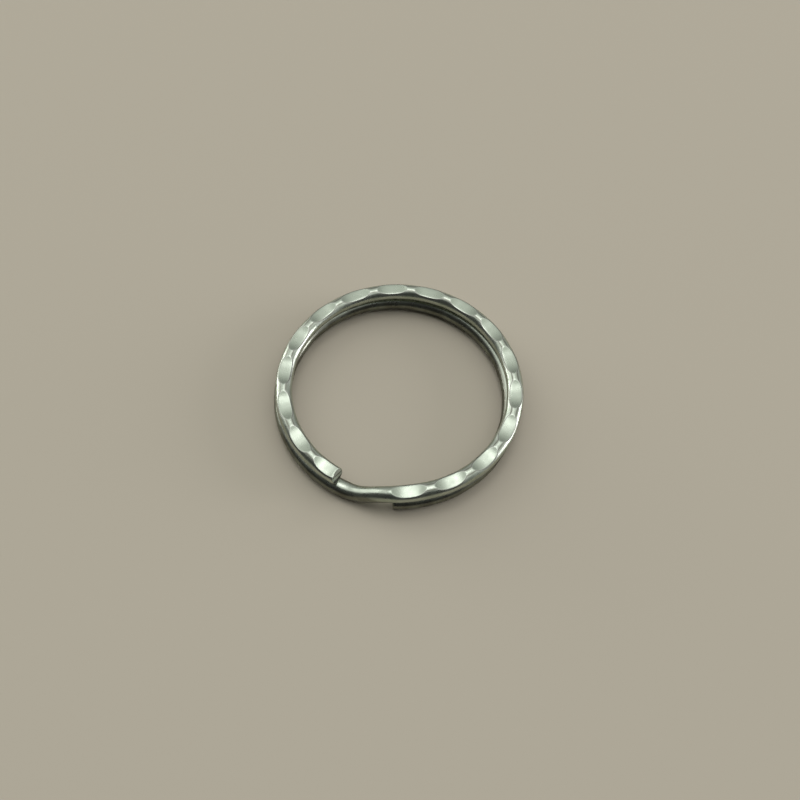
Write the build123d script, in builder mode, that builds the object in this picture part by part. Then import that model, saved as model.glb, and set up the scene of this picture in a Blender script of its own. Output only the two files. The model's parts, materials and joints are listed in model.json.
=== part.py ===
from build123d import *

import os
from math import acos, ceil, cos, degrees, floor, pi, radians, sin

# Split key ring: one springy steel wire, wound twice round and squeezed between dies that
# leave a row of dimples on both faces of the coil.
#
# Millimetres, +Z up. The ring lies flat on z = 0 with the axis of its eye along Z. The origin
# is midway between the centres of the two turns. The gate, where a key goes on, is at the
# front (-Y). Angles are in degrees, counter-clockwise from +X seen from above.
#
# The wire starts at its lower end, right of the gate, runs once round counter-clockwise on the
# lower level, climbs through the gate, and runs once round again on the upper level to its
# upper end, left of the gate. It is cut into stretches at the flats between dimples, because
# the spring of the coil is shared out over the cuts: each stretch twists about the wire's own
# centre line against the next one.

# The wire
OUTER_DIAMETER = 30.0  # over one turn
WIRE_WIDTH = 2.0  # radial, where the squeeze has spread the wire
TURN_HEIGHT = 1.75  # one turn, from flat to flat
FLAT_WIDTH = 0.3  # flats that the squeeze leaves along the top and bottom of the wire
BARE_DIAMETER = 1.86  # round wire halfway up the climb, which the dies don't reach
FLANK_STRIPS = 12  # narrow cones that round each flank, true to the ellipse within 0.01 mm

# How the turns lie
TURN_GAP = 0.05  # between the closed turns
TURN_SHIFT = 0.38  # how far the lower turn lies off the upper turn's centre
SHIFT_DIRECTION = 230.0  # where it has moved to
GATE_ANGLE = 270.0  # where the dies leave a dimple out for the gate
LOW_RUN = 1.71  # wire lying low in the gate, from the upper end to the foot of the climb
CLIMB_RUN = 5.13  # wire climbing to the upper level, as far as the lower end
LOWER_END_REACH = 3.42  # from the missing dimple's middle to the lower end
END_LEAN = 13.0  # the shear's cut through the upper end leans back from its bottom edge

# The dies' marks
DIMPLE_PLACES = 18  # round a full turn; the one in the gate stays bare
DIMPLE_DEPTH = 0.36
DIMPLE_SPACE = 0.98  # flat left along the wire between two dimples

CLIMB_STATIONS = 8  # sections that the climbing wire is lofted through

LOWER_NAMES = ["lower_free_end", "lower_right", "lower_back_right",
               "lower_back_left", "lower_left", "lower_front_left"]
UPPER_NAMES = ["upper_front_right", "upper_right", "upper_back_right",
               "upper_back_left", "upper_left", "upper_free_end"]

# What follows from them
UP = Vector(0, 0, 1)
centre_radius = (OUTER_DIAMETER - WIRE_WIDTH) / 2
flank_reach = acos(FLAT_WIDTH / WIRE_WIDTH)  # from the middle of a flank to a flat's edge
crown_height = TURN_HEIGHT / 2 / sin(flank_reach)

half_shift = Vector(TURN_SHIFT / 2, 0, 0).rotate(Axis.Z, SHIFT_DIRECTION)
lower_centre = half_shift + UP * (TURN_HEIGHT / 2)
upper_centre = UP * (TURN_HEIGHT * 1.5 + TURN_GAP) - half_shift

climb = UP * (TURN_HEIGHT + TURN_GAP)
slide = upper_centre - lower_centre - climb

upper_start = GATE_ANGLE + degrees(LOWER_END_REACH / centre_radius)
lower_start = upper_start - 360
lower_end = upper_start - degrees(CLIMB_RUN / centre_radius)
upper_end = lower_end - degrees(LOW_RUN / centre_radius) + 360

pitch = 360 / DIMPLE_PLACES
dimple_length = 2 * pi * centre_radius / DIMPLE_PLACES - DIMPLE_SPACE
die_radius = (dimple_length ** 2 / 4 + DIMPLE_DEPTH ** 2) / (2 * DIMPLE_DEPTH)
dimple_reach = degrees(dimple_length / 2 / centre_radius)


def arm(angle):
    """From the centre of a turn to the wire's centre line."""
    return Vector(centre_radius * cos(radians(angle)), centre_radius * sin(radians(angle)), 0)


def section_plane(point, heading):
    """Plane across the wire: x away from the eye, y up, for a wire that heads that way."""
    return Plane(origin=point, x_dir=heading.cross(UP), z_dir=-heading)


def wire_section(bare=0.0):
    """The wire on the sketch plane, from squeezed (bare 0) to round (bare 1).

    Squeezed wire is an ellipse with its top and bottom flat.
    """
    half_width = WIRE_WIDTH / 2 + bare * (BARE_DIAMETER - WIRE_WIDTH) / 2
    half_height = crown_height + bare * (BARE_DIAMETER / 2 - crown_height)
    turns = [flank_reach * (1 - 2 * strip / FLANK_STRIPS) for strip in range(FLANK_STRIPS + 1)]
    outer_flank = [(half_width * cos(turn), half_height * sin(turn)) for turn in turns]
    inner_flank = [(-x, -y) for x, y in outer_flank]
    with BuildLine() as outline:
        Polyline(*outer_flank, *inner_flank, close=True)
    make_face(outline.line)


def wind(centre, start, end):
    """Wire lying flat round a turn's centre, between two angles."""
    with BuildSketch(section_plane(centre + arm(start), UP.cross(arm(start)))) as section:
        wire_section()
    revolve(section.sketch, Axis(centre, UP), end - start)


def climb_plane(share):
    """Plane across the climbing wire, at a share of the way from the lower to the upper turn.

    The wire eases into the climb and out of it, and slides over to the upper turn's centre
    towards the end, so it leaves both turns in line.
    """
    angle = lower_end + share * (upper_start - lower_end)
    climbed = climb * share ** 2 * (3 - 2 * share)
    slid = slide * share ** 3 * (4 - 3 * share)
    climbing = climb * 6 * share * (1 - share)
    sliding = slide * 12 * share ** 2 * (1 - share)
    turning = UP.cross(arm(angle)) * radians(upper_start - lower_end)
    point = lower_centre + climbed + slid + arm(angle)
    return section_plane(point, climbing + sliding + turning)


def press(centre, side, start, end):
    """Dimples on the top (side 1) or the bottom (side -1) of a stretch of wire.

    A dimple is the mark of a cylinder that lies across the wire. The upper turn's dimples are
    counted forwards from the gate and the lower turn's backwards, so both stand in line.
    """
    nearest, furthest = (1, DIMPLE_PLACES - 1) if side > 0 else (1 - DIMPLE_PLACES, -1)
    first = max(nearest, ceil((start - dimple_reach - GATE_ANGLE) / pitch))
    last = min(furthest, floor((end + dimple_reach - GATE_ANGLE) / pitch))
    if last < first:
        return
    with Locations(centre + UP * side * (TURN_HEIGHT / 2 - DIMPLE_DEPTH + die_radius)):
        with PolarLocations(centre_radius, last - first + 1, GATE_ANGLE + first * pitch,
                            (last - first) * pitch, endpoint=True):
            Cylinder(die_radius, 2 * WIRE_WIDTH, rotation=(0, 90, 0), mode=Mode.SUBTRACT)


def shear(centre, end):
    """Cuts a stretch that ends there, leaning back from the bottom edge of its end."""
    foot = centre + arm(end) - UP * (TURN_HEIGHT / 2)
    outward = arm(end)
    forward = UP.cross(outward).rotate(Axis((0, 0, 0), outward), END_LEAN)
    split(bisect_by=Plane(origin=foot, x_dir=outward, z_dir=forward), keep=Keep.BOTTOM)


def cuts(start, end, first_angle):
    """Where a turn is cut: at the flats nearest to equal shares of the turn, counted round."""
    shares = len(UPPER_NAMES)
    flats = [round(DIMPLE_PLACES * share / shares) - 0.5 for share in range(1, shares)]
    return [start] + sorted(first_angle(flat * pitch) for flat in flats) + [end]


def keep(builder, name):
    """Labels a finished stretch and writes its STEP file."""
    builder.part.label = name
    export_step(builder.part, f"parts/{name}.step")


os.makedirs("parts", exist_ok=True)

lower_cuts = cuts(lower_start, lower_end, lambda turned: GATE_ANGLE - turned)
upper_cuts = cuts(upper_start, upper_end, lambda turned: GATE_ANGLE + turned)

for name, start, end in zip(LOWER_NAMES, lower_cuts, lower_cuts[1:]):
    with BuildPart() as stretch:
        wind(lower_centre, start, end)
        press(lower_centre, -1, start, end)
    keep(stretch, name)

for name, start, end in zip(UPPER_NAMES, upper_cuts, upper_cuts[1:]):
    with BuildPart() as stretch:
        wind(upper_centre, start, end)
        press(upper_centre, 1, start, end)
        if end == upper_end:
            shear(upper_centre, end)
    keep(stretch, name)

with BuildPart() as crossover_bend:
    for station in range(CLIMB_STATIONS + 1):
        share = station / CLIMB_STATIONS
        with BuildSketch(climb_plane(share)):
            wire_section(bare=sin(pi * share) ** 2)
    loft()
    press(upper_centre, 1, lower_end, upper_start)
keep(crossover_bend, "crossover_bend")
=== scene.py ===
"""Split key ring: the polished wire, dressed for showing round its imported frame.

Sizes are millimetres and degrees in the classes below, and every mesh is in metres. Angles run
counter-clockwise from +X seen from above. The wire starts at its lower end, right of the gate at
-Y, runs once round on the lower level, climbs through the gate, and runs once round again. The
frame's hinges say where its coil lies, and each piece of the wire bends over one of them.
"""

import json
import logging
import math
from dataclasses import dataclass, field
from enum import Enum

import bmesh
import bpy
import numpy as np
from mathutils import Matrix, Quaternion, Vector


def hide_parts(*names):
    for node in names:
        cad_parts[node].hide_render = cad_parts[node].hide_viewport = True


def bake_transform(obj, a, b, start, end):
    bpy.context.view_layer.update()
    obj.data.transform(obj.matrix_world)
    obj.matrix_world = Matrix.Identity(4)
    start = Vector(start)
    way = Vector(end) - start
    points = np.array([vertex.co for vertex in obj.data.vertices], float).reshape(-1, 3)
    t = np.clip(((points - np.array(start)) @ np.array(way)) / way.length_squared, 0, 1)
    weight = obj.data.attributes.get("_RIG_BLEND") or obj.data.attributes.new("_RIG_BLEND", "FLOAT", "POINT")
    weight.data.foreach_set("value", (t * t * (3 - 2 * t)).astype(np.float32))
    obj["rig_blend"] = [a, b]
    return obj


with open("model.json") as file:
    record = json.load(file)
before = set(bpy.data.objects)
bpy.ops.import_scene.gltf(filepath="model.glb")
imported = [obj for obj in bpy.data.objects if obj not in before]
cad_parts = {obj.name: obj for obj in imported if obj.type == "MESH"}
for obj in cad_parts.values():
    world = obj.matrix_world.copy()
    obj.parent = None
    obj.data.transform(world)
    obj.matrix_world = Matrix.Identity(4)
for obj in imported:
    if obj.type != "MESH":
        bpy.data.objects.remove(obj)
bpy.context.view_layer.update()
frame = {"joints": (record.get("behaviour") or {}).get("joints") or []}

log = logging.getLogger("key_ring")

MILLIMETRE = 0.001  # metres
FULL_TURN = 360.0

LINE_ATTRIBUTE = "wire_line"  # place on the wire as it was before winding
WEAR_ATTRIBUTE = "edge_wear"  # 1 on an edge that rubs bright
CREASE_ATTRIBUTE = "crease_distance"  # from the line where the pressed face meets a flank
FLANK_SHADE_ATTRIBUTE = "painted_flank_shade"  # 1 where painted shade lies on the low flanks
TURN_ATTRIBUTE = "section_turn"  # angle round the section

FRAME_DIGITS = 3  # decimals of a millimetre or a degree that the frame's places are good for
SHIFT_DIGITS = 1  # fewer for the shift's direction, which is taken from a short distance
SAME_PLACE = 1e-6  # less than this apart counts as nothing

MIX_SHARE, MIX_FIRST, MIX_SECOND, MIX_RESULT = 0, 6, 7, 2  # sockets of a Mix node for colours

Colour = tuple[float, float, float]
Socket = bpy.types.NodeSocket

WHITE: Colour = (1.0, 1.0, 1.0)
VIOLET_WHITE: Colour = (0.97, 0.93, 1.0)


class Side(Enum):
    """The face of a turn that the dies mark, as the sign of its height."""

    TOP = 1
    UNDERSIDE = -1


class Finish(Enum):
    """Places in a wire piece's list of materials."""

    POLISHED = 0
    SHEARED = 1


def smooth_lower(
    first: np.ndarray, second: np.ndarray | float, reach: np.ndarray | float
) -> np.ndarray:
    """The lower of two heights, with the corner between them rounded.

    Args:
        first: One surface's heights.
        second: The other surface's heights, or its one height.
        reach: How far apart the two may be where the rounding starts.

    Returns:
        The rounded lower height.
    """
    reach = np.maximum(reach, SAME_PLACE)
    near = np.clip(reach - np.abs(first - second), 0.0, None)
    return np.minimum(first, second) - near**2 / (4 * reach)


def smooth_step(share: np.ndarray) -> np.ndarray:
    """A share of the way from 0 to 1, eased in and out."""
    held = np.clip(share, 0.0, 1.0)
    return held**3 * (10 - 15 * held + 6 * held**2)


def arm(angle: float) -> np.ndarray:
    """Direction from the middle of the eye to the wire at an angle."""
    return np.array([np.cos(np.radians(angle)), np.sin(np.radians(angle)), 0.0])


def direction(azimuth: float, elevation: float) -> Vector:
    """Direction from the ring to something at an azimuth, from +X, and an elevation."""
    way, rise = math.radians(azimuth), math.radians(elevation)
    return Vector((math.cos(way) * math.cos(rise), math.sin(way) * math.cos(rise), math.sin(rise)))


@dataclass(frozen=True)
class Hinge:
    """A place where the wire twists, as the frame gives it."""

    angle: float  # along the wire
    point: np.ndarray  # on the centre line


def read_hinges(joints: list[dict]) -> list[Hinge]:
    """Reads the frame's hinges.

    Args:
        joints: The frame's joints, in order along the wire. Their axes point along it.

    Returns:
        The hinges in the same order.
    """
    hinges: list[Hinge] = []
    for joint in joints:
        along = joint["axis"]
        angle = math.degrees(math.atan2(-along[0], along[1]))
        while hinges and angle < hinges[-1].angle:
            angle += FULL_TURN
        point = np.array(joint["pos_m"]) / MILLIMETRE
        hinges.append(Hinge(round(angle, FRAME_DIGITS), point))
    return hinges


@dataclass(frozen=True)
class WireSection:
    """The squeezed wire: an ellipse whose top and bottom are flat."""

    height: float
    width: float = 2.0
    flat_width: float = 0.3
    corner: float = 0.16  # half the width of the rounding beside a flat
    flat_slope: float = 0.1  # added to the slope, which is 0 in the middle of a flat
    flank_limit: float = 0.05  # keeps the slope finite where a flank stands upright
    bare_diameter: float = 1.86  # of the round wire that the dies leave alone

    @property
    def crown(self) -> float:
        """Half the height that the ellipse would have without its flats."""
        return self.height / 2 / math.sin(math.acos(self.flat_width / self.width))

    def slope(self, across: np.ndarray) -> np.ndarray:
        """How steeply the ellipse falls away at a distance across the wire."""
        inside = np.clip(1 - (2 * across / self.width) ** 2, self.flank_limit, None)
        return np.abs(across) * 4 * self.crown / self.width**2 / np.sqrt(inside)

    def outline(self, turn: np.ndarray, bareness: np.ndarray) -> tuple[np.ndarray, np.ndarray]:
        """Points of the section.

        Args:
            turn: Angles round the section in radians, from the outer flank upwards.
            bareness: 0 where the wire is squeezed, 1 where it is still round.

        Returns:
            Distances outwards from the eye and heights, both from the wire's centre line.
        """
        across = self.width / 2 * np.cos(turn)
        arched = self.crown * np.abs(np.sin(turn))
        flat = np.full_like(arched, self.height / 2)
        reach = self.corner * (self.slope(across) + self.flat_slope)
        height = np.sign(np.sin(turn)) * smooth_lower(arched, flat, reach)
        round_across = self.bare_diameter / 2 * np.cos(turn)
        round_height = self.bare_diameter / 2 * np.sin(turn)
        across = across + bareness * (round_across - across)
        return across, height + bareness * (round_height - height)


@dataclass(frozen=True)
class CoilPath:
    """The centre line of the wire: two level turns and the crossing between them."""

    radius: float
    shift: float  # of the lower turn off the upper turn's centre
    shift_direction: float
    lower_height: float
    upper_height: float
    start: float = -76.0
    climb_start: float = 260.0  # the wire climbs to the upper level
    climb_end: float = 286.0
    slide_start: float = 275.0  # and slides over to the upper turn's circle
    slide_end: float = 303.0
    bare_start: float = 258.0  # the wire turns round where the dies miss it
    bare_end: float = 290.0
    bare_ease: float = 3.0  # easing over one part in this many of that stretch, at each end
    end: float = 616.0
    end_lean: float = 19.0  # how far the upper end's cut leans back above its upright foot
    end_foot: float = 0.55  # height of that foot
    foot_round: float = 0.2  # how far from the foot's top the bend to the leaning part starts

    @classmethod
    def through(cls, hinges: list[Hinge]) -> "CoilPath":
        """The coil that runs through the frame's hinges.

        Args:
            hinges: The first two are on the lower turn, and the last is on the upper turn.

        Returns:
            The coil, to the micrometre.
        """
        first, second, last = hinges[0], hinges[1], hinges[-1]
        chord = np.linalg.norm(first.point - second.point)
        radius = float(chord / np.linalg.norm(arm(first.angle) - arm(second.angle)))
        lower_centre = first.point - radius * arm(first.angle)
        upper_centre = last.point - radius * arm(last.angle)
        x, y, _ = lower_centre - upper_centre
        return cls(
            radius=round(radius, FRAME_DIGITS),
            shift=round(math.hypot(x, y), FRAME_DIGITS),
            shift_direction=round(math.degrees(math.atan2(y, x)) % FULL_TURN, SHIFT_DIGITS),
            lower_height=round(float(first.point[2]), FRAME_DIGITS),
            upper_height=round(float(last.point[2]), FRAME_DIGITS),
        )

    def points(self, angle: np.ndarray) -> np.ndarray:
        """Points of the centre line.

        Args:
            angle: Angles along the wire in degrees.

        Returns:
            One row of x, y and height for each angle.
        """
        climbed = smooth_step((angle - self.climb_start) / (self.climb_end - self.climb_start))
        slid = smooth_step((angle - self.slide_start) / (self.slide_end - self.slide_start))
        way = math.radians(self.shift_direction)
        aside = self.shift * (0.5 - slid)
        turn = np.radians(angle)
        rise = self.lower_height + (self.upper_height - self.lower_height) * climbed
        return np.stack([
            aside * math.cos(way) + self.radius * np.cos(turn),
            aside * math.sin(way) + self.radius * np.sin(turn),
            rise,
        ], 1)

    def bareness(self, angle: np.ndarray) -> np.ndarray:
        """How round the wire still is: 1 in the middle of the gate, 0 where it is squeezed."""
        share = np.clip((angle - self.bare_start) / (self.bare_end - self.bare_start), 0.0, 1.0)
        return smooth_step(self.bare_ease * np.minimum(share, 1 - share))

    def centre(self, upper: bool) -> np.ndarray:
        """Centre of the upper or the lower turn, at the height of its wire's centre line."""
        angle = self.end if upper else self.start
        return self.points(np.array([angle]))[0] - self.radius * arm(angle)

    def frames(self, angle: np.ndarray) -> tuple[np.ndarray, np.ndarray, np.ndarray]:
        """Where the wire is and how it lies.

        Args:
            angle: Angles along the wire in degrees.

        Returns:
            Points of the centre line, directions away from the eye, and directions upwards.
        """
        nudge = 0.05  # degrees
        along = self.points(angle + nudge) - self.points(angle - nudge)
        along /= np.linalg.norm(along, axis=1)[:, None]
        outward = np.cross(along, np.array([0.0, 0.0, 1.0]))
        outward /= np.linalg.norm(outward, axis=1)[:, None]
        return self.points(angle), outward, np.cross(outward, along)


@dataclass(frozen=True)
class DieMarks:
    """The dimples that the squeezing dies leave: marks of rounded bars lying across the wire."""

    places: int = 18  # round a full turn
    depth: float = 0.26
    space: float = 0.98  # flat left between two dimples
    gate: float = 270.0  # the place that stays bare
    die_power: float = 2.6  # 2 is a round bar, and more is flatter along its middle
    edge_round: float = 0.08  # half the width of the rounding along a dimple's edge
    wear_reach: float = 3.0  # the bright wear spreads this many times as far
    bulge: float = 0.05  # how far the wire's marked face spreads beside a dimple
    crowning: float = 0.10  # how far a dimple's floor would fall at the wire's flanks
    crowning_power: float = 6.0
    crease_drop: float = 0.045  # how far below the top the crease runs between two dimples
    crease_round: float = 0.04  # how near that level it starts to bend down along a dimple
    crease_slope: float = 0.05  # added to the slope that its distance is reckoned with
    crease_fade: float = 20.0  # round wire counts as this many times further off it

    @property
    def pitch(self) -> float:
        """Angle from one dimple to the next."""
        return FULL_TURN / self.places

    def reach(self, path: CoilPath) -> float:
        """Half the length of a dimple on that coil."""
        return math.pi * path.radius / self.places - self.space / 2

    def die_surface(
        self, points: np.ndarray, angle: np.ndarray, side: Side, path: CoilPath, section: WireSection
    ) -> tuple[np.ndarray, np.ndarray]:
        """The face of the nearest die over some points of the wire.

        Args:
            points: Places on the wire, one row each.
            angle: Angles along the wire of the same points.
            side: Which face of the turn is marked.
            path: The coil.
            section: The wire's section.

        Returns:
            Heights of the die's face, counted outwards on the marked side, and its slopes.
        """
        centre = path.centre(side is Side.TOP)
        count = np.clip(
            np.round(side.value * (angle - self.gate) / self.pitch), 1, self.places - 1
        )
        way = np.radians(self.gate + side.value * count * self.pitch)
        aside = (points[:, 1] - centre[1]) * np.cos(way) - (points[:, 0] - centre[0]) * np.sin(way)
        share = np.abs(aside) / self.reach(path)
        floor = side.value * centre[2] + section.height / 2 - self.depth
        slope = self.die_power * self.depth * share ** (self.die_power - 1) / self.reach(path)
        return floor + self.depth * share**self.die_power, slope


@dataclass(frozen=True)
class Unevenness:
    """Slight waves that winding and pressing leave in the wire."""

    height: float = 0.006
    seed: int = 7
    waves: int = 9
    shortest: float = 1.2  # wave along the wire
    longest: float = 6.0
    most_lobes: int = 3  # waves round the section

    def offsets(self, run: np.ndarray, turn: np.ndarray) -> np.ndarray:
        """How far each point stands off the true surface.

        Args:
            run: Distances along the wire.
            turn: Angles round the section in radians.

        Returns:
            Offsets away from the centre line.
        """
        draw = np.random.default_rng(self.seed)
        total = np.zeros_like(run)
        for _ in range(self.waves):
            length = draw.uniform(self.shortest, self.longest)
            lobes = int(draw.integers(0, self.most_lobes + 1))
            phase = draw.uniform(0, 2 * math.pi, 2)
            total += np.sin(2 * math.pi * run / length + phase[0]) * np.cos(lobes * turn + phase[1])
        return total * self.height / math.sqrt(self.waves)


@dataclass(frozen=True)
class PaintedFlankShade:
    """Where painted shade lies: on the wire's flanks low down, darker towards the floor."""

    top: float = 2.85  # height above the floor where it starts
    full: float = 2.25
    flank: float = 0.62  # middle of its edge, across the wire
    edge: float = 0.4  # width of that edge

    def strength(self, height: np.ndarray, across: np.ndarray) -> np.ndarray:
        """How strong the painted shade is.

        Args:
            height: Heights above the floor.
            across: Distances across the wire.

        Returns:
            Strengths from 0 to 1.
        """
        low = smooth_step((self.top - height) / (self.top - self.full))
        return low * smooth_step((np.abs(across) - self.flank) / self.edge + 0.5)


def write_layer(wire: bmesh.types.BMesh, name: str, values: np.ndarray) -> None:
    """Stores a number or a vector at each vertex, as an attribute.

    Args:
        wire: The mesh, which is changed.
        name: The attribute's name.
        values: One number or one row of three for each vertex.
    """
    layers = wire.verts.layers.float if values.ndim == 1 else wire.verts.layers.float_vector
    layer = layers.new(name)
    for vertex, value in zip(wire.verts, values):
        vertex[layer] = value


@dataclass(frozen=True)
class WireSpan:
    """One piece of the dressed wire. It crosses a single hinge and bends over it."""

    name: str
    start: float
    end: float
    hinge: float  # its angle along the wire
    bodies: tuple[str, str]
    stands_for: tuple[str, ...]
    cut_at_start: bool
    cut_at_end: bool


@dataclass
class Skin:
    """A span's surface while it is shaped: one value or one row for each vertex."""

    angle: np.ndarray  # along the wire
    run: np.ndarray  # distance along the wire
    turn: np.ndarray  # round the section, in radians
    inset: np.ndarray  # how far the rounded rim of a cut end stands in
    across: np.ndarray  # from the centre line, away from the eye
    height: np.ndarray  # from the centre line, upwards
    point: np.ndarray  # of the centre line
    outward: np.ndarray  # direction away from the eye
    upward: np.ndarray

    def places(self) -> np.ndarray:
        """Where the vertices are."""
        across, height = self.across[:, None], self.height[:, None]
        return self.point + self.outward * across + self.upward * height


@dataclass
class Coil:
    """The whole wire, wound twice round and marked by the dies."""

    hinges: list[Hinge]
    path: CoilPath
    section: WireSection
    marks: DieMarks = field(default_factory=DieMarks)
    unevenness: Unevenness = field(default_factory=Unevenness)
    flank_shade: PaintedFlankShade = field(default_factory=PaintedFlankShade)
    section_points: int = 112
    crowding: float = 0.35  # how much closer the section's points stand on the marked side
    winding_step: float = 4.0  # angle of one coarse step of the winding
    winding_cuts: int = 12  # and how often each is then divided
    bend_reach: float = 20.0  # angle each side of a hinge over which a span bends
    end_round: float = 0.15
    end_crowding: float = 0.6  # length at a cut end over which the stations crowd together
    lean_reach: float = 1.8  # length over which the sections lean with the upper end's cut

    @classmethod
    def over(cls, hinges: list[Hinge]) -> "Coil":
        """The wire that covers the frame's solids. Its lower turn lies on the floor."""
        path = CoilPath.through(hinges)
        return cls(hinges, path, WireSection(height=2 * path.lower_height))

    def spans(self) -> list[WireSpan]:
        """Shares the wire out over its hinges.

        Returns:
            The ten pieces in order along the wire. Each but the last ends where its bend ends.
        """
        rows = (
            ("wire_lower_end", "lower_free_end", "lower_right",
             ("lower_free_end", "lower_right")),
            ("wire_lower_right", "lower_right", "lower_back_right",
             ("lower_right", "lower_back_right")),
            ("wire_lower_back", "lower_back_right", "lower_back_left",
             ("lower_back_right", "lower_back_left")),
            ("wire_lower_back_left", "lower_back_left", "lower_left",
             ("lower_back_left", "lower_left")),
            ("wire_lower_left", "lower_left", "crossover",
             ("lower_left", "lower_front_left")),
            ("wire_crossover", "crossover", "upper_right",
             ("lower_front_left", "crossover_bend", "upper_front_right", "upper_right")),
            ("wire_upper_right", "upper_right", "upper_back_right",
             ("upper_right", "upper_back_right")),
            ("wire_upper_back", "upper_back_right", "upper_back_left",
             ("upper_back_right", "upper_back_left")),
            ("wire_upper_left", "upper_back_left", "upper_left",
             ("upper_back_left", "upper_left")),
            ("wire_upper_end", "upper_left", "upper_free_end",
             ("upper_left", "upper_free_end")),
        )
        spans: list[WireSpan] = []
        start = self.path.start
        for hinge, (name, first, second, nodes) in zip(self.hinges, rows, strict=True):
            last = hinge is self.hinges[-1]
            end = self.path.end if last else hinge.angle + self.bend_reach
            spans.append(
                WireSpan(name, start, end, hinge.angle, (first, second), nodes, not spans, last)
            )
            start = end
        return spans

    def side_of(self, span: WireSpan) -> Side:
        """The face that the dies mark on a span."""
        return Side.TOP if span.end > self.path.climb_start else Side.UNDERSIDE

    def wind(self, span: WireSpan) -> bmesh.types.BMesh:
        """Spins a plain round wire from one angle to another, then divides it finely.

        Args:
            span: The piece to wind.

        Returns:
            An open tube, in millimetres, round the origin.
        """
        wire = bmesh.new()
        turn_layer = wire.verts.layers.float.new(TURN_ATTRIBUTE)
        upright = Matrix.Rotation(math.radians(90), 4, "X")
        outwards = Matrix.Translation((self.path.radius, 0, 0))
        begin = Matrix.Rotation(math.radians(span.start), 4, "Z")
        ring = bmesh.ops.create_circle(
            wire, segments=self.section_points, radius=self.section.width / 2,
            matrix=outwards @ upright,
        )["verts"]
        for vertex in ring:
            vertex[turn_layer] = math.atan2(vertex.co.z, vertex.co.x - self.path.radius)
        bmesh.ops.transform(wire, matrix=begin, verts=ring)
        steps = round((span.end - span.start) / self.winding_step)
        rungs = set(wire.edges)
        bmesh.ops.spin(
            wire, geom=wire.edges[:], axis=(0, 0, 1), cent=(0, 0, 0),
            angle=math.radians(span.end - span.start), steps=steps,
        )
        lengthwise = [
            e for e in wire.edges
            if e not in rungs and abs(e.verts[0][turn_layer] - e.verts[1][turn_layer]) < SAME_PLACE
        ]
        bmesh.ops.subdivide_edges(wire, edges=lengthwise, cuts=self.winding_cuts)
        return wire

    def lay_out(self, span: WireSpan, wire: bmesh.types.BMesh, side: Side) -> Skin:
        """Lays the squeezed wire's section along the coil.

        Args:
            span: The piece being made.
            wire: Its wound tube.
            side: The face that the dies mark.

        Returns:
            The skin before the dies mark it.
        """
        turn_layer = wire.verts.layers.float[TURN_ATTRIBUTE]
        wound = np.array([v.co for v in wire.verts], float)
        angle = np.degrees(np.arctan2(wound[:, 1], wound[:, 0]))
        spare = 1.0  # the first stations may lie a hair before the start
        angle = span.start - spare + np.mod(angle - span.start + spare, FULL_TURN)
        angle, inset = self.crowd(span, angle)
        turn = np.array([v[turn_layer] for v in wire.verts], float)
        turn = turn + side.value * self.crowding * np.cos(turn)
        run = np.radians(angle) * self.path.radius
        across, height = self.section.outline(turn, self.path.bareness(angle))
        if span.cut_at_end:
            angle = angle - self.lean(angle, height, span.end)
        return Skin(angle, run, turn, inset, across, height, *self.path.frames(angle))

    def spread(self, skin: Skin, side: Side, sunk: np.ndarray) -> None:
        """Spreads the skin beside the dimples, and makes it slightly uneven.

        Args:
            skin: The skin, which is changed.
            side: The face that the dies mark.
            sunk: How deep the die goes there, from 0 to 1.
        """
        lip = np.clip(0.5 + side.value * skin.height / self.section.height, 0.0, 1.0)
        skin.across = skin.across * (1 + self.marks.bulge * sunk * lip * 2 / self.section.width)
        off = self.unevenness.offsets(skin.run, skin.turn)
        skin.across = skin.across + off * np.cos(skin.turn)
        skin.height = skin.height + off * np.sin(skin.turn)

    def press(self, skin: Skin, side: Side) -> tuple[np.ndarray, np.ndarray, np.ndarray]:
        """Presses the dimples into a skin.

        Args:
            skin: The skin, which is changed.
            side: The face that the dies mark.

        Returns:
            Where the vertices are, how worn they are, and how far into the pressed face they
            lie, counted from its crease.
        """
        marks, section = self.marks, self.section
        face = side.value * self.path.centre(side is Side.TOP)[2] + section.height / 2
        die, die_slope = marks.die_surface(skin.places(), skin.angle, side, self.path, section)
        sunk = np.clip((face - die) / marks.depth, 0.0, 1.0)
        self.spread(skin, side, sunk)
        placed = skin.places()
        level = side.value * placed[:, 2]
        aside = np.clip(np.abs(2 * skin.across / section.width), 0.0, 1.0)
        die = die - marks.crowning * sunk * aside**marks.crowning_power
        steepness = np.hypot(section.slope(skin.across), die_slope)
        reach = marks.edge_round * steepness
        pressed = smooth_lower(level, die, reach)
        fade = np.maximum(marks.wear_reach * reach, SAME_PLACE)
        worn = np.clip(1 - np.abs(level - die) / fade, 0.0, 1.0)
        pressed_face = smooth_lower(die, face - marks.crease_drop, marks.crease_round)
        crease = (level - pressed_face) / (steepness + marks.crease_slope)
        crease = crease * (1 + marks.crease_fade * self.path.bareness(skin.angle))
        placed[:, 2] = side.value * pressed
        skin.height = skin.height + side.value * (pressed - level)
        return placed, worn, crease

    def shape(self, span: WireSpan, wire: bmesh.types.BMesh) -> None:
        """Moves the wound wire's vertices to the squeezed, climbing and dimpled form.

        Args:
            span: The piece being made.
            wire: Its open tube, which is changed.
        """
        side = self.side_of(span)
        skin = self.lay_out(span, wire, side)
        placed, worn, crease = self.press(skin, side)
        spoke = placed - skin.point
        length = np.linalg.norm(spoke, axis=1)
        placed = skin.point + spoke * (1 - skin.inset / length)[:, None]
        for vertex, place in zip(wire.verts, placed * MILLIMETRE):
            vertex.co = place
        line = np.stack([skin.run, skin.across, skin.height], 1)
        write_layer(wire, LINE_ATTRIBUTE, line * MILLIMETRE)
        write_layer(wire, WEAR_ATTRIBUTE, worn)
        write_layer(wire, CREASE_ATTRIBUTE, crease * MILLIMETRE)
        # share of painted shade on the low flanks
        write_layer(wire, FLANK_SHADE_ATTRIBUTE, self.flank_shade.strength(placed[:, 2], skin.across))

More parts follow.
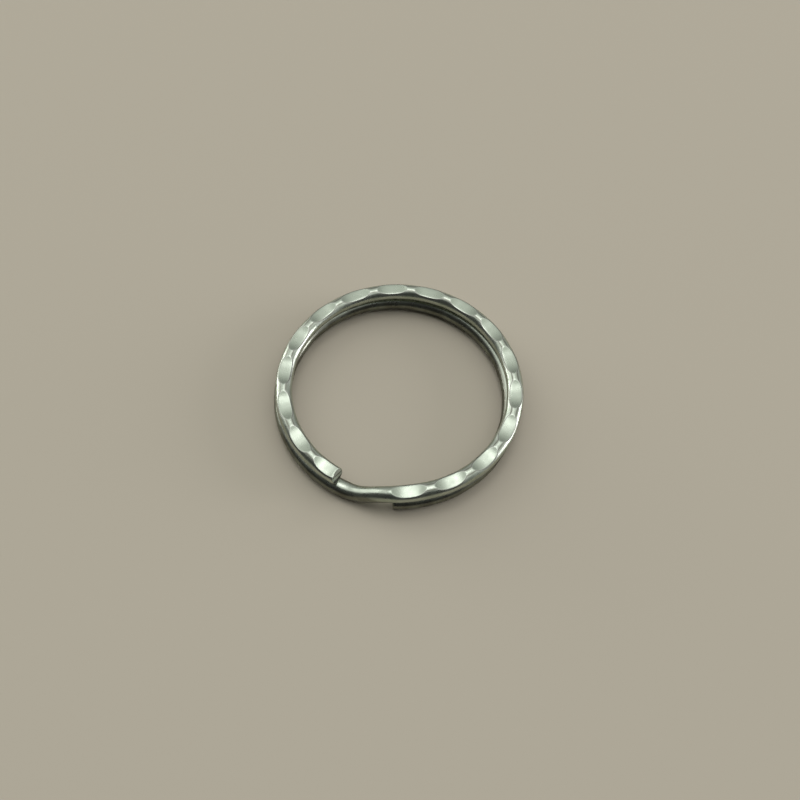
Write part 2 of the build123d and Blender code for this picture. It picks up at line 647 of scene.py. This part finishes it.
    def lean(self, angle: np.ndarray, height: np.ndarray, end: float) -> np.ndarray:
        """How far the sections near the upper end lean back, so that its cut does.

        Args:
            angle: Angles along the wire.
            height: Heights from the wire's centre line.
            end: Where the wire ends at its bottom.

        Returns:
            Angles to take off.
        """
        left = np.radians(end - angle) * self.path.radius
        share = np.clip(1 - left / self.lean_reach, 0.0, 1.0)
        above = height + self.section.height / 2 - self.path.end_foot
        back = smooth_lower(-above, 0.0, self.path.foot_round)
        lean = math.tan(math.radians(self.path.end_lean))
        return -share * np.degrees(back * lean / self.path.radius)

    def crowd(self, span: WireSpan, angle: np.ndarray) -> tuple[np.ndarray, np.ndarray]:
        """Draws the stations together near a cut end, and rounds the end's rim.

        Args:
            span: The piece being made.
            angle: Angles along the wire.

        Returns:
            The new angles, and how far the surface stands in there.
        """
        inset = np.zeros_like(angle)
        reach = math.degrees(self.end_crowding / self.path.radius)
        for cut, end, way in (
            (span.cut_at_start, span.start, 1), (span.cut_at_end, span.end, -1)
        ):
            if not cut:
                continue
            back = np.clip((angle - end) * way, 0.0, None)
            back = np.where(back < reach, back**3 / reach**2, back)
            angle = end + way * back
            shy = np.clip(self.end_round - np.radians(back) * self.path.radius, 0.0, None)
            inset = inset + self.end_round - np.sqrt(self.end_round**2 - shy**2)
        return angle, inset

    def close(self, wire: bmesh.types.BMesh) -> None:
        """Closes both ends of a span.

        Args:
            wire: Its shaped tube, which is changed.
        """
        rims = [e for e in wire.edges if e.is_boundary]
        for rim in rims:
            rim.smooth = False
        caps = bmesh.ops.holes_fill(wire, edges=rims, sides=0)["faces"]
        bmesh.ops.recalc_face_normals(wire, faces=wire.faces)
        for cap in caps:
            cap.material_index = Finish.SHEARED.value

    def build(self, span: WireSpan, finishes: dict[Finish, bpy.types.Material]) -> bpy.types.Object:
        """Makes one piece of the wire.

        Args:
            span: The piece to make.
            finishes: Its materials.

        Returns:
            The piece, riding over its hinge.
        """
        wire = self.wind(span)
        self.shape(span, wire)
        self.close(wire)
        mesh = bpy.data.meshes.new(span.name)
        for finish in Finish:
            mesh.materials.append(finishes[finish])
        for face in wire.faces:
            face.smooth = True
        wire.to_mesh(mesh)
        wire.free()
        piece = bpy.data.objects.new(span.name, mesh)
        bpy.context.scene.collection.objects.link(piece)
        edge_angles = np.array([span.hinge - self.bend_reach, span.hinge + self.bend_reach])
        points = self.path.points(edge_angles)
        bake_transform(piece, *span.bodies, start=points[0] * MILLIMETRE, end=points[1] * MILLIMETRE)
        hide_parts(*span.stands_for)
        log.info("%s: %d faces, bends over %s", span.name, len(mesh.polygons), span.bodies)
        return piece


def add_node(
    tree: bpy.types.NodeTree, kind: str, settings: dict[str, object] | None = None,
    inputs: dict[str | int, object] | None = None,
) -> bpy.types.Node:
    """Adds a shader node.

    Args:
        tree: The node tree.
        kind: The node's type name.
        settings: Properties to set on the node.
        inputs: Values for its input sockets, or output sockets to link to them.

    Returns:
        The node.
    """
    node = tree.nodes.new(kind)
    for key, value in (settings or {}).items():
        setattr(node, key, value)
    for key, value in (inputs or {}).items():
        if isinstance(value, Socket):
            tree.links.new(value, node.inputs[key])
        else:
            node.inputs[key].default_value = value
    return node


def read_attribute(tree: bpy.types.NodeTree, name: str) -> bpy.types.Node:
    """Adds a node that reads an attribute: Fac is its number, Vector its vector."""
    return add_node(tree, "ShaderNodeAttribute", {"attribute_name": name})


def calculate(tree: bpy.types.NodeTree, operation: str, *values: Socket | float) -> Socket:
    """Adds a calculation and returns its result."""
    node = add_node(tree, "ShaderNodeMath", {"operation": operation}, dict(enumerate(values)))
    return node.outputs["Value"]


def map_range(
    tree: bpy.types.NodeTree, value: Socket, source: tuple[float, float] = (0.0, 1.0),
    target: tuple[Socket | float, Socket | float] = (0.0, 1.0), eased: bool = False,
) -> Socket:
    """Maps one range of numbers to another.

    Args:
        tree: The node tree.
        value: The number to map, which is held inside its range.
        source: The range that it lies in.
        target: The range that it is mapped to.
        eased: Whether it eases in and out.

    Returns:
        The mapped number.
    """
    node = add_node(
        tree, "ShaderNodeMapRange", {"interpolation_type": "SMOOTHSTEP" if eased else "LINEAR"},
        {
            "Value": value, "From Min": source[0], "From Max": source[1],
            "To Min": target[0], "To Max": target[1],
        },
    )
    return node.outputs["Result"]


def mix_colours(
    tree: bpy.types.NodeTree, share: Socket, first: Socket | Colour, second: Colour
) -> Socket:
    """Mixes two colours.

    Args:
        tree: The node tree.
        share: How much there is of the second colour, from 0 to 1.
        first: The first colour.
        second: The second colour.

    Returns:
        The mixed colour.
    """
    below = first if isinstance(first, Socket) else (*first, 1.0)
    node = add_node(
        tree, "ShaderNodeMix", {"data_type": "RGBA"},
        {MIX_SHARE: share, MIX_FIRST: below, MIX_SECOND: (*second, 1.0)},
    )
    return node.outputs[MIX_RESULT]


@dataclass(frozen=True)
class Noise:
    """A random pattern."""

    scale: float  # cells to the metre
    detail: float  # how many finer patterns lie over it

    def over(self, tree: bpy.types.NodeTree, place: Socket) -> Socket:
        """Adds the pattern.

        Args:
            tree: The node tree.
            place: The coordinates that it lies on.

        Returns:
            Its value.
        """
        node = add_node(
            tree, "ShaderNodeTexNoise", None,
            {"Vector": place, "Scale": self.scale, "Detail": self.detail},
        )
        return node.outputs["Fac"]


@dataclass(frozen=True)
class Relief:
    """Bumps too fine to model, which follow a random pattern."""

    noise: Noise
    strength: float
    depth: float

    def raised(
        self, tree: bpy.types.NodeTree, value: Socket, below: Socket | None = None
    ) -> Socket:
        """Adds the bumps.

        Args:
            tree: The node tree.
            value: The pattern's value.
            below: The normal of the relief that these bumps lie on, if there is one.

        Returns:
            The normal.
        """
        inputs = {"Height": value, "Strength": self.strength, "Distance": self.depth * MILLIMETRE}
        if below is not None:
            inputs["Normal"] = below
        return add_node(tree, "ShaderNodeBump", None, inputs).outputs["Normal"]


def new_material(name: str) -> tuple[bpy.types.Material, bpy.types.Node]:
    """Makes an empty material.

    Args:
        name: The material's name.

    Returns:
        The material and its Principled shader node.
    """
    material = bpy.data.materials.new(name)
    material.use_nodes = True
    return material, material.node_tree.nodes["Principled BSDF"]


@dataclass(frozen=True)
class PolishedSteel:
    """Tumbled steel wire: faint drawing lines and fine grain, with painted shade along the creases and on
    the low flanks.
    """

    colour: Colour = (0.43, 0.475, 0.395)
    dull_colour: Colour = (0.36, 0.405, 0.325)
    pressed_colour: Colour = (0.33, 0.375, 0.30)
    edge_colour: Colour = (0.48, 0.52, 0.45)
    # colour of the painted shade, on the low flanks and along the creases
    shade_colour: Colour = (0.12, 0.115, 0.09)
    shade_least: float = 0.60  # the painted flank shade's strength where it is weakest, and where it is strongest
    shade_most: float = 0.92
    pressed_edge: float = 0.15  # from the crease to where the pressed colour is full
    crease_width: float = 0.075  # half the width of the painted shade line along a crease
    # how strong that painted shade line is
    crease_shade: float = 0.75
    roughness: float = 0.29
    roughness_change: float = 0.08
    clouds: Noise = Noise(1300.0, 4.0)
    cloud_range: tuple[float, float] = (0.3, 0.7)  # values between which the roughness changes
    patches: Noise = Noise(420.0, 3.0)  # where the painted flank shade is stronger
    patch_range: tuple[float, float] = (0.35, 0.62)  # values from weakest to strongest
    drawn: Relief = Relief(Noise(9000.0, 3.0), strength=0.06, depth=0.04)
    drawn_squeeze: float = 0.06  # the drawing lines' width as a share of their length
    grain: Relief = Relief(Noise(14000.0, 2.0), strength=0.04, depth=0.03)

    def painted_shade(self, tree: bpy.types.NodeTree, line: Socket, gap: Socket) -> Socket:
        """How dark the steel is painted: painted shade on the low flanks and along a crease.

        Args:
            tree: The node tree.
            line: Places on the wire as it was before winding.
            gap: Distances from the crease.

        Returns:
            The strength of the dark colour.
        """
        # patchy painted shade on the low flanks
        shade_strength = map_range(
            tree, self.patches.over(tree, line), self.patch_range,
            (self.shade_least, self.shade_most),
        )
        lies_there = read_attribute(tree, FLANK_SHADE_ATTRIBUTE).outputs["Fac"]
        flank_shade = calculate(tree, "MULTIPLY", lies_there, shade_strength)
        # a painted shade line along the crease
        crease = map_range(
            tree, calculate(tree, "ABSOLUTE", gap), (0.0, self.crease_width * MILLIMETRE),
            (self.crease_shade, 0.0), eased=True,
        )
        return calculate(tree, "MAXIMUM", flank_shade, crease)

    def relief(self, tree: bpy.types.NodeTree, line: Socket) -> Socket:
        """Fine grain over the lines that drawing left.

        Args:
            tree: The node tree.
            line: Places on the wire as it was before winding.

        Returns:
            The normal.
        """
        stretched = add_node(
            tree, "ShaderNodeMapping", None,
            {"Vector": line, "Scale": (self.drawn_squeeze, 1.0, 1.0)},
        ).outputs["Vector"]
        drawn = self.drawn.raised(tree, self.drawn.noise.over(tree, stretched))
        return self.grain.raised(tree, self.grain.noise.over(tree, line), drawn)

    def material(self) -> bpy.types.Material:
        """Makes the finish.

        Returns:
            Its material.
        """
        material, shader = new_material("polished_steel")
        tree = material.node_tree
        line = read_attribute(tree, LINE_ATTRIBUTE).outputs["Vector"]
        worn = read_attribute(tree, WEAR_ATTRIBUTE).outputs["Fac"]
        gap = read_attribute(tree, CREASE_ATTRIBUTE).outputs["Fac"]
        cloud = self.clouds.over(tree, line)
        inside = map_range(tree, gap, (0.0, self.pressed_edge * MILLIMETRE), eased=True)
        colour = mix_colours(tree, cloud, self.colour, self.dull_colour)
        colour = mix_colours(tree, worn, colour, self.edge_colour)
        colour = mix_colours(tree, inside, colour, self.pressed_colour)
        # painted shade on the low flanks and along the creases
        colour = mix_colours(tree, self.painted_shade(tree, line, gap), colour, self.shade_colour)
        half_change = self.roughness_change / 2
        rough = map_range(
            tree, cloud, self.cloud_range,
            (self.roughness - half_change, self.roughness + half_change),
        )
        tree.links.new(colour, shader.inputs["Base Color"])
        tree.links.new(rough, shader.inputs["Roughness"])
        tree.links.new(self.relief(tree, line), shader.inputs["Normal"])
        shader.inputs["Metallic"].default_value = 1.0
        return material


@dataclass(frozen=True)
class ShearTone:
    """The sheared end's colour at a height on the section. It blends into its neighbours."""

    height: float
    colour: Colour


@dataclass(frozen=True)
class ShearedSteel:
    """The end that the shear left: drawn in along the top, burnished, then torn and dark, with a painted
    highlight on its top rim and painted shade low down.
    """

    tones: tuple[ShearTone, ...] = (
        # torn steel low on the end, darkened further with painted shade
        ShearTone(-0.88, (0.05, 0.05, 0.042)),
        ShearTone(-0.34, (0.07, 0.07, 0.06)),
        ShearTone(-0.16, (0.40, 0.44, 0.37)),
        ShearTone(0.12, (0.40, 0.44, 0.37)),
        ShearTone(0.24, (0.16, 0.17, 0.145)),
        ShearTone(0.32, (0.16, 0.17, 0.145)),
        # the rounded top rim, lighter as a painted highlight
        ShearTone(0.44, (0.52, 0.56, 0.50)),
    )
    outer_droop: float = 0.30  # how fast the dark torn part, with its painted shade, rises towards the outer side
    waviness: float = 0.14  # of the tones' edges
    roughness: float = 0.46
    torn: Relief = Relief(Noise(2600.0, 5.0), strength=0.3, depth=0.1)

    def material(self) -> bpy.types.Material:
        """Makes the finish.

        Returns:
            Its material.
        """
        material, shader = new_material("sheared_steel")
        tree = material.node_tree
        low, high = self.tones[0].height, -self.tones[0].height
        line = read_attribute(tree, LINE_ATTRIBUTE).outputs["Vector"]
        parts = add_node(tree, "ShaderNodeSeparateXYZ", None, {0: line}).outputs
        torn = self.torn.noise.over(tree, line)
        drooped = calculate(tree, "MULTIPLY_ADD", parts["Y"], -self.outer_droop, parts["Z"])
        reach = self.waviness * MILLIMETRE
        waved = calculate(tree, "ADD", drooped, map_range(tree, torn, target=(-reach, reach)))
        share = map_range(tree, waved, (low * MILLIMETRE, high * MILLIMETRE))
        ramp = add_node(tree, "ShaderNodeValToRGB", None, {0: share})
        stops = ramp.color_ramp.elements
        while len(stops) < len(self.tones):
            stops.new(1.0)
        for stop, tone in zip(stops, self.tones):
            stop.position = (tone.height - low) / (high - low)
            stop.color = (*tone.colour, 1.0)
        tree.links.new(ramp.outputs["Color"], shader.inputs["Base Color"])
        tree.links.new(self.torn.raised(tree, torn), shader.inputs["Normal"])
        shader.inputs["Roughness"].default_value = self.roughness
        shader.inputs["Metallic"].default_value = 1.0
        return material


@dataclass(frozen=True)
class PaleBoard:
    """The plain pale surface that the ring lies on."""

    colour: Colour = (0.49, 0.455, 0.36)
    roughness: float = 1.0

    def material(self) -> bpy.types.Material:
        """Makes the finish.

        Returns:
            Its material.
        """
        material, shader = new_material("pale_board")
        shader.inputs["Base Color"].default_value = (*self.colour, 1.0)
        shader.inputs["Roughness"].default_value = self.roughness
        shader.inputs["Specular IOR Level"].default_value = 0.0
        return material


@dataclass(frozen=True)
class View:
    """The camera: where it stands about the upper turn's centre, and its lens."""

    azimuth: float = 282.64  # where it stands, from +X
    elevation: float = 60.69
    distance: float = 95.0
    roll: float = 3.67
    lens: float = 34.42
    sensor: float = 36.0
    aim_right: float = 0.097  # how far right of the turn's centre it points
    aim_up: float = -0.505
    nearest: float = 5.0  # that it can see
    furthest: float = 20000.0

    def directions(self) -> tuple[Vector, Vector, Vector]:
        """Turns the camera about the line that it looks along.

        Returns:
            Its right, up and backward directions.
        """
        back = direction(self.azimuth, self.elevation)
        level_right = Vector((0, 0, 1)).cross(back).normalized()
        level_up = back.cross(level_right)
        tilt = Quaternion(back, math.radians(self.roll))
        return tilt @ level_right, tilt @ level_up, back

    def place(self, centre: Vector) -> bpy.types.Object:
        """Makes the scene's camera.

        Args:
            centre: The upper turn's centre on the floor, in metres.

        Returns:
            The camera.
        """
        right, up, back = self.directions()
        stand = centre + back * self.distance * MILLIMETRE
        aim = centre + (right * self.aim_right + up * self.aim_up) * MILLIMETRE
        behind = (stand - aim).normalized()
        right = up.cross(behind).normalized()
        up = behind.cross(right)
        data = bpy.data.cameras.new("camera")
        data.lens, data.sensor_width = self.lens, self.sensor
        data.clip_start = self.nearest * MILLIMETRE
        data.clip_end = self.furthest * MILLIMETRE
        camera = bpy.data.objects.new("camera", data)
        camera.matrix_world = Matrix.Translation(stand) @ Matrix(
            (right, up, behind)
        ).transposed().to_4x4()
        bpy.context.scene.collection.objects.link(camera)
        bpy.context.scene.camera = camera
        return camera


@dataclass(frozen=True)
class Lamp:
    """A soft rectangular lamp that points at the ring. Its lengths are metres."""

    name: str
    azimuth: float
    elevation: float
    width: float
    height: float
    power: float  # watts
    colour: Colour = WHITE
    distance: float = 1.0

    def hang(self) -> bpy.types.Object:
        """Makes the lamp.

        Returns:
            Its object.
        """
        back = direction(self.azimuth, self.elevation)
        data = bpy.data.lights.new(self.name, "AREA")
        data.shape = "RECTANGLE"
        data.size, data.size_y = self.width, self.height
        data.energy, data.color = self.power, self.colour
        lamp = bpy.data.objects.new(self.name, data)
        lamp.rotation_mode = "QUATERNION"
        lamp.location = back * self.distance
        lamp.rotation_quaternion = (-back).to_track_quat("-Z", "Y")
        lamp.visible_camera = False
        bpy.context.scene.collection.objects.link(lamp)
        return lamp


@dataclass
class Studio:
    """Floor, soft room light, lamps and camera."""

    view: View = field(default_factory=View)
    board: PaleBoard = field(default_factory=PaleBoard)
    floor_size: float = 6000.0
    floor_gap: float = 0.01  # keeps the floor clear of the ring's flats
    room_light: float = 0.50
    overhead_light: float = 1.20
    overhead_rise: tuple[float, float] = (0.50, 0.92)  # sines of the elevations where it grows
    shaded_light: float = 0.06
    shade_azimuth: float = 262.6  # middle of the room's dark side
    shade_elevation: float = 2.0
    shade_edge: tuple[float, float] = (0.14, 0.34)  # cosines off that middle, light to dark
    shade_foot: float = 0.06  # sine of the elevation up to which the shade grows from none
    lamps: tuple[Lamp, ...] = (
        Lamp("key_lamp", 102.6, 72.5, width=0.36, height=0.32, power=1.15, colour=VIOLET_WHITE),
        Lamp("left_window", 158.0, 24.0, width=0.75, height=0.85, power=2.7),
        Lamp("left_sill", 165.0, 5.0, width=0.50, height=0.15, power=1.4),
        Lamp("right_window", 20.0, 9.0, width=0.48, height=0.48, power=5.6, colour=VIOLET_WHITE),
    )

    def lay_floor(self) -> bpy.types.Object:
        """Makes the floor.

        Returns:
            Its object.
        """
        ground = bmesh.new()
        bmesh.ops.create_grid(
            ground, x_segments=1, y_segments=1, size=self.floor_size / 2 * MILLIMETRE,
            matrix=Matrix.Translation((0, 0, -self.floor_gap * MILLIMETRE)),
        )
        mesh = bpy.data.meshes.new("floor")
        ground.to_mesh(mesh)
        ground.free()
        mesh.materials.append(self.board.material())
        floor = bpy.data.objects.new("floor", mesh)
        bpy.context.scene.collection.objects.link(floor)
        return floor

    def light_room(self) -> None:
        """Lights the room: bright overhead, softer round the walls, dark on one side."""
        world = bpy.data.worlds.new("room")
        world.use_nodes = True
        bpy.context.scene.world = world
        tree = world.node_tree
        background = tree.nodes["Background"]
        background.inputs["Color"].default_value = (*WHITE, 1.0)
        place = add_node(tree, "ShaderNodeTexCoord").outputs["Generated"]
        height = add_node(tree, "ShaderNodeSeparateXYZ", None, {0: place}).outputs["Z"]
        upper_light = map_range(
            tree, height, self.overhead_rise, (self.room_light, self.overhead_light), eased=True
        )
        near = add_node(
            tree, "ShaderNodeVectorMath", {"operation": "DOT_PRODUCT"},
            {0: place, 1: direction(self.shade_azimuth, self.shade_elevation)},
        ).outputs["Value"]
        shade = map_range(tree, near, self.shade_edge, eased=True)
        above = map_range(tree, height, (0.0, self.shade_foot), eased=True)
        dark = calculate(tree, "MULTIPLY", shade, above)
        level = map_range(tree, dark, target=(upper_light, self.shaded_light))
        tree.links.new(level, background.inputs["Strength"])

    def set_up(self, path: CoilPath) -> None:
        """Makes everything that isn't part of the ring.

        Args:
            path: The ring's coil, whose upper turn the camera is aimed by.
        """
        self.lay_floor()
        self.light_room()
        for lamp in self.lamps:
            lamp.hang()
        centre = path.centre(upper=True) * MILLIMETRE
        camera = self.view.place(Vector((centre[0], centre[1], 0)))
        bpy.context.scene.view_settings.view_transform = "Standard"
        log.info("camera: %.1f mm from the eye's middle", camera.location.length / MILLIMETRE)


def main() -> None:
    """Builds the wire, then the studio."""
    logging.basicConfig(level=logging.INFO, format="%(name)s: %(message)s")
    coil = Coil.over(read_hinges(frame["joints"]))
    finishes = {
        Finish.POLISHED: PolishedSteel().material(),
        Finish.SHEARED: ShearedSteel().material(),
    }
    for span in coil.spans():
        coil.build(span, finishes)
    Studio().set_up(coil.path)


if __name__ == "__main__":
    main()
